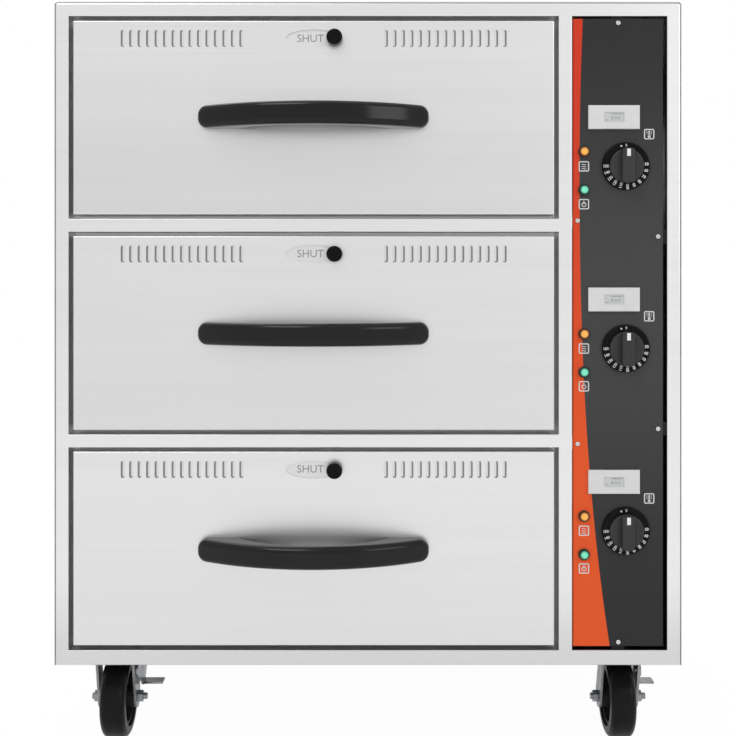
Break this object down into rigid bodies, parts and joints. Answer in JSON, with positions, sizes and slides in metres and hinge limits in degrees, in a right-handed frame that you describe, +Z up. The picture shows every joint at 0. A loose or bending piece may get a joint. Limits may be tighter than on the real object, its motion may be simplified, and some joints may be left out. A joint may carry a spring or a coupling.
{
  "type": "drawer warmer",
  "caption": "Free-standing stainless food warmer on swivel casters, with heated pull-out pan drawers, sliding vents and a side column of dial controls.",
  "frame": {"origin": "on the floor, under the middle of the bounding box", "axes": "+Z up, +X to the right seen from the front, +Y from the drawer fronts to the back"},
  "size_m": [0.75, 0.6434, 0.917],
  "materials": {
    "stainless_brushed": "brushed",
    "stainless_liner": "satin",
    "pan_steel": "satin",
    "galvanised": "spangled zinc",
    "screw_steel": "polished",
    "rail_steel": "zinc plated",
    "element_sheath": "oxidised",
    "caster_zinc": "bright zinc",
    "seal": "matte",
    "mineral_wool": "fibrous",
    "panel_grey": "satin",
    "thermostat_case": "matte",
    "gloss_black": "gloss",
    "satin_black": "satin",
    "display_white": "satin",
    "amber_lens": "translucent",
    "green_lens": "translucent",
    "gland_nylon": "matte",
    "wheel_rubber": "matte"
  },
  "bodies": {
    "cabinet": {"cabinet_wrap": "stainless_brushed", "front_frame": "stainless_brushed", "back_panel": "galvanised", "base_pan": "galvanised", "case_screws": "screw_steel", "compartment_liners": "stainless_liner", "gaskets": "seal", "insulation": "mineral_wool", "heating_elements": "element_sheath", "cabinet_rails": "rail_steel", "control_panel": "panel_grey", "thermostats": "thermostat_case", "dial_rings": "gloss_black", "thermometers": "display_white", "amber_lamps": "amber_lens", "green_lamps": "green_lens", "cord_gland": "gland_nylon", "terminal_block": "gland_nylon", "caster_mounts": "caster_zinc"},
    "drawer_1": {"front_skin_1": "stainless_brushed", "inner_panel_1": "stainless_liner", "handle_1": "gloss_black", "pan_carrier_1": "stainless_liner", "food_pan_1": "pan_steel"},
    "slide_rails_1": {"middle_rails_1": "rail_steel"},
    "vent_1": {"vent_slider_1": "stainless_liner", "vent_knob_1": "gloss_black"},
    "selector_1": {"knob_1": "satin_black"},
    "drawer_2": {"front_skin_2": "stainless_brushed", "inner_panel_2": "stainless_liner", "handle_2": "gloss_black", "pan_carrier_2": "stainless_liner", "food_pan_2": "pan_steel"},
    "slide_rails_2": {"middle_rails_2": "rail_steel"},
    "vent_2": {"vent_slider_2": "stainless_liner", "vent_knob_2": "gloss_black"},
    "selector_2": {"knob_2": "satin_black"},
    "drawer_3": {"front_skin_3": "stainless_brushed", "inner_panel_3": "stainless_liner", "handle_3": "gloss_black", "pan_carrier_3": "stainless_liner", "food_pan_3": "pan_steel"},
    "slide_rails_3": {"middle_rails_3": "rail_steel"},
    "vent_3": {"vent_slider_3": "stainless_liner", "vent_knob_3": "gloss_black"},
    "selector_3": {"knob_3": "satin_black"},
    "swivel_front_left": {"fork_front_left": "caster_zinc", "axle_front_left": "caster_zinc"},
    "roller_front_left": {"wheel_front_left": "wheel_rubber"},
    "brake_arm_front_left": {"brake_front_left": "caster_zinc"},
    "swivel_front_right": {"fork_front_right": "caster_zinc", "axle_front_right": "caster_zinc"},
    "roller_front_right": {"wheel_front_right": "wheel_rubber"},
    "brake_arm_front_right": {"brake_front_right": "caster_zinc"},
    "swivel_back_left": {"fork_back_left": "caster_zinc", "axle_back_left": "caster_zinc"},
    "roller_back_left": {"wheel_back_left": "wheel_rubber"},
    "swivel_back_right": {"fork_back_right": "caster_zinc", "axle_back_right": "caster_zinc"},
    "roller_back_right": {"wheel_back_right": "wheel_rubber"}
  },
  "joints": [
    {"name": "drawer_1_slide", "type": "slide", "parent": "cabinet", "child": "drawer_1", "axis": [0, -1, 0], "range_m": [0, 0.42]},
    {"name": "rails_1_slide", "type": "slide", "parent": "cabinet", "child": "slide_rails_1", "axis": [0, -1, 0], "range_m": [0, 0.21]},
    {"name": "vent_1_slide", "type": "slide", "parent": "drawer_1", "child": "vent_1", "axis": [-1, 0, 0], "range_m": [0, 0.04563]},
    {"name": "knob_1_turn", "type": "hinge", "parent": "cabinet", "child": "selector_1", "pos_m": [0.3083, -0.26625, 0.7207], "axis": [0, 1, 0], "range_deg": [0, 270]},
    {"name": "drawer_2_slide", "type": "slide", "parent": "cabinet", "child": "drawer_2", "axis": [0, -1, 0], "range_m": [0, 0.42]},
    {"name": "rails_2_slide", "type": "slide", "parent": "cabinet", "child": "slide_rails_2", "axis": [0, -1, 0], "range_m": [0, 0.21]},
    {"name": "vent_2_slide", "type": "slide", "parent": "drawer_2", "child": "vent_2", "axis": [-1, 0, 0], "range_m": [0, 0.04563]},
    {"name": "knob_2_turn", "type": "hinge", "parent": "cabinet", "child": "selector_2", "pos_m": [0.3083, -0.26625, 0.5027], "axis": [0, 1, 0], "range_deg": [0, 270]},
    {"name": "drawer_3_slide", "type": "slide", "parent": "cabinet", "child": "drawer_3", "axis": [0, -1, 0], "range_m": [0, 0.42]},
    {"name": "rails_3_slide", "type": "slide", "parent": "cabinet", "child": "slide_rails_3", "axis": [0, -1, 0], "range_m": [0, 0.21]},
    {"name": "vent_3_slide", "type": "slide", "parent": "drawer_3", "child": "vent_3", "axis": [-1, 0, 0], "range_m": [0, 0.04563]},
    {"name": "knob_3_turn", "type": "hinge", "parent": "cabinet", "child": "selector_3", "pos_m": [0.3083, -0.26625, 0.2847], "axis": [0, 1, 0], "range_deg": [0, 270]},
    {"name": "swivel_front_left_turn", "type": "hinge", "parent": "cabinet", "child": "swivel_front_left", "pos_m": [-0.319, -0.19825, 0.115], "axis": [0, 0, 1], "continuous": true},
    {"name": "wheel_front_left_roll", "type": "hinge", "parent": "swivel_front_left", "child": "roller_front_left", "pos_m": [-0.319, -0.16525, 0.0508], "axis": [1, 0, 0], "continuous": true},
    {"name": "brake_front_left_press", "type": "hinge", "parent": "swivel_front_left", "child": "brake_arm_front_left", "pos_m": [-0.319, -0.17625, 0.088], "axis": [-1, 0, 0], "range_deg": [0, 6.5]},
    {"name": "swivel_front_right_turn", "type": "hinge", "parent": "cabinet", "child": "swivel_front_right", "pos_m": [0.319, -0.19825, 0.115], "axis": [0, 0, 1], "continuous": true},
    {"name": "wheel_front_right_roll", "type": "hinge", "parent": "swivel_front_right", "child": "roller_front_right", "pos_m": [0.319, -0.16525, 0.0508], "axis": [1, 0, 0], "continuous": true},
    {"name": "brake_front_right_press", "type": "hinge", "parent": "swivel_front_right", "child": "brake_arm_front_right", "pos_m": [0.319, -0.17625, 0.088], "axis": [-1, 0, 0], "range_deg": [0, 6.5]},
    {"name": "swivel_back_left_turn", "type": "hinge", "parent": "cabinet", "child": "swivel_back_left", "pos_m": [-0.319, 0.23175, 0.115], "axis": [0, 0, 1], "continuous": true},
    {"name": "wheel_back_left_roll", "type": "hinge", "parent": "swivel_back_left", "child": "roller_back_left", "pos_m": [-0.319, 0.26475, 0.0508], "axis": [1, 0, 0], "continuous": true},
    {"name": "swivel_back_right_turn", "type": "hinge", "parent": "cabinet", "child": "swivel_back_right", "pos_m": [0.319, 0.23175, 0.115], "axis": [0, 0, 1], "continuous": true},
    {"name": "wheel_back_right_roll", "type": "hinge", "parent": "swivel_back_right", "child": "roller_back_right", "pos_m": [0.319, 0.26475, 0.0508], "axis": [1, 0, 0], "continuous": true}
  ],
  "couplings": [
    {"joint": "rails_1_slide", "follows": "drawer_1_slide", "ratio": 0.5},
    {"joint": "rails_2_slide", "follows": "drawer_2_slide", "ratio": 0.5},
    {"joint": "rails_3_slide", "follows": "drawer_3_slide", "ratio": 0.5}
  ]
}
